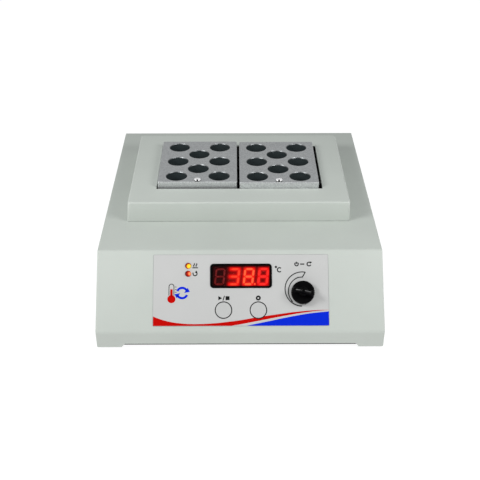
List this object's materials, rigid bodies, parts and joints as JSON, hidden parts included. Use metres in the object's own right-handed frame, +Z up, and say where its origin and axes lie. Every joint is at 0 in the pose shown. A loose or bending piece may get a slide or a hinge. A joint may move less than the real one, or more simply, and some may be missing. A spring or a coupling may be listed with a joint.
{
  "type": "thermal mixer",
  "caption": "Low bench thermal mixer: grey wedge-fronted case with a raked control panel, a raised collar, and drilled aluminium tube blocks that run on a small orbit.",
  "frame": {"origin": "on the bench under the middle of the overall footprint (bounding box bottom centre)", "axes": "+X to the right as seen from the control panel, +Y from the control panel to the back, +Z up"},
  "size_m": [0.2528, 0.3109, 0.101],
  "materials": {
    "case_paint": "satin light grey-green powder coat",
    "collar_paint": "satin light grey-green powder coat",
    "sponge": "matt",
    "liner_black": "matt black",
    "glass_wool": "fibrous",
    "base_black": "matt black",
    "foot_rubber": "matt",
    "zinc_screws": "zinc plated",
    "label_film": "fine satin film",
    "bezel_black": "gloss",
    "window_smoke": "smoked red",
    "display_black": "matt",
    "led_yellow": "clear tinted, lit",
    "led_red": "clear tinted, lit",
    "board_green": "solder mask",
    "nickel": "nickel plated",
    "pot_can": "plated",
    "shaft_steel": "ground",
    "knob_black": "semi-gloss",
    "key_grey": "fine satin",
    "frame_steel": "zinc plated",
    "motor_can": "dark grey",
    "bearing_steel": "ground",
    "crank_brass": "machined",
    "plate_aluminium": "machined",
    "spacer_ptfe": "natural",
    "mineral_board": "matt",
    "heater_silicone": "matt",
    "sensor_steel": "polished",
    "cutout_black": "matt",
    "block_aluminium": "fine bead-blasted and anodised",
    "screw_chrome": "polished",
    "core_iron": "varnished",
    "sink_black": "black anodised",
    "inlet_black": "moulded",
    "pin_brass": "nickel plated",
    "fuse_glass": "clear",
    "rocker_black": "semi-gloss",
    "wire_brown": "satin",
    "ribbon_grey": "matt",
    "wire_red": "satin"
  },
  "bodies": {
    "housing": {"top_case": "case_paint", "collar": "collar_paint", "collar_gasket": "sponge", "bay_liner": "liner_black", "bay_insulation": "glass_wool", "base_plate": "base_black", "rear_panel": "case_paint", "rubber_feet": "foot_rubber", "foot_screws": "zinc_screws", "case_screws": "zinc_screws", "front_label": "label_film", "display_bezel": "bezel_black", "display_window": "window_smoke", "display_module": "display_black", "led_hot": "led_yellow", "led_run": "led_red", "control_board": "board_green", "board_standoffs": "nickel", "speed_potentiometer": "pot_can", "potentiometer_nut": "nickel", "drive_frame": "frame_steel", "frame_pillars": "nickel", "drive_motor": "motor_can", "motor_screws": "zinc_screws", "idler_bearings": "bearing_steel", "mains_transformer": "core_iron", "power_board": "board_green", "heat_sink": "sink_black", "power_inlet": "inlet_black", "inlet_pins": "pin_brass", "switch_frame": "inlet_black", "rear_screws": "zinc_screws", "mains_leads": "wire_brown", "ribbon_cable": "ribbon_grey", "motor_lead": "wire_red"},
    "drive_shaft": {"motor_shaft": "shaft_steel", "drive_crank": "crank_brass"},
    "idler_left": {"idler_crank_left": "crank_brass"},
    "idler_right": {"idler_crank_right": "crank_brass"},
    "platform": {"carrier_plate": "plate_aluminium", "platform_bearings": "bearing_steel", "plate_spacers": "spacer_ptfe", "insulation_board": "mineral_board", "heater_mat": "heater_silicone", "heater_plate": "plate_aluminium", "temperature_sensor": "sensor_steel", "thermal_cutout": "cutout_black", "block_left": "block_aluminium", "block_right": "block_aluminium", "block_screws": "screw_chrome"},
    "speed_dial": {"pot_shaft": "shaft_steel", "speed_knob": "knob_black"},
    "start_key": {"start_button": "key_grey"},
    "set_key": {"set_button": "key_grey"},
    "rocker": {"power_rocker": "rocker_black"},
    "fuse_carrier": {"fuse_drawer": "inlet_black", "fuses": "fuse_glass"}
  },
  "joints": [
    {"name": "crank_spin", "type": "hinge", "parent": "housing", "child": "drive_shaft", "pos_m": [0, 0.02194, 0.027], "axis": [0, 0, 1], "continuous": true},
    {"name": "platform_orbit", "type": "hinge", "parent": "drive_shaft", "child": "platform", "pos_m": [-0.00106, 0.02088, 0.034], "axis": [0, 0, 1], "continuous": true},
    {"name": "idler_left_spin", "type": "hinge", "parent": "housing", "child": "idler_left", "pos_m": [-0.058, 0.02194, 0.019], "axis": [0, 0, 1], "continuous": true},
    {"name": "idler_right_spin", "type": "hinge", "parent": "housing", "child": "idler_right", "pos_m": [0.058, 0.02194, 0.019], "axis": [0, 0, 1], "continuous": true},
    {"name": "speed_dial_turn", "type": "hinge", "parent": "housing", "child": "speed_dial", "pos_m": [0.0544, -0.13381, 0.04451], "axis": [0, -0.7655, 0.6435], "range_deg": [-167.5, 102.5]},
    {"name": "start_button_press", "type": "slide", "parent": "housing", "child": "start_key", "axis": [0, 0.7655, -0.6435], "range_m": [0, 0.001], "stiffness_N_per_m": 800},
    {"name": "set_button_press", "type": "slide", "parent": "housing", "child": "set_key", "axis": [0, 0.7655, -0.6435], "range_m": [0, 0.001], "stiffness_N_per_m": 800},
    {"name": "power_switch_rock", "type": "hinge", "parent": "housing", "child": "rocker", "pos_m": [0.038, 0.14494, 0.036], "axis": [1, 0, 0], "range_deg": [0, 18]},
    {"name": "fuse_drawer_slide", "type": "slide", "parent": "housing", "child": "fuse_carrier", "axis": [0, 1, 0], "range_m": [0, 0.016]}
  ],
  "couplings": [
    {"joint": "platform_orbit", "follows": "crank_spin", "ratio": -1},
    {"joint": "idler_left_spin", "follows": "crank_spin", "ratio": 1},
    {"joint": "idler_right_spin", "follows": "crank_spin", "ratio": 1}
  ]
}
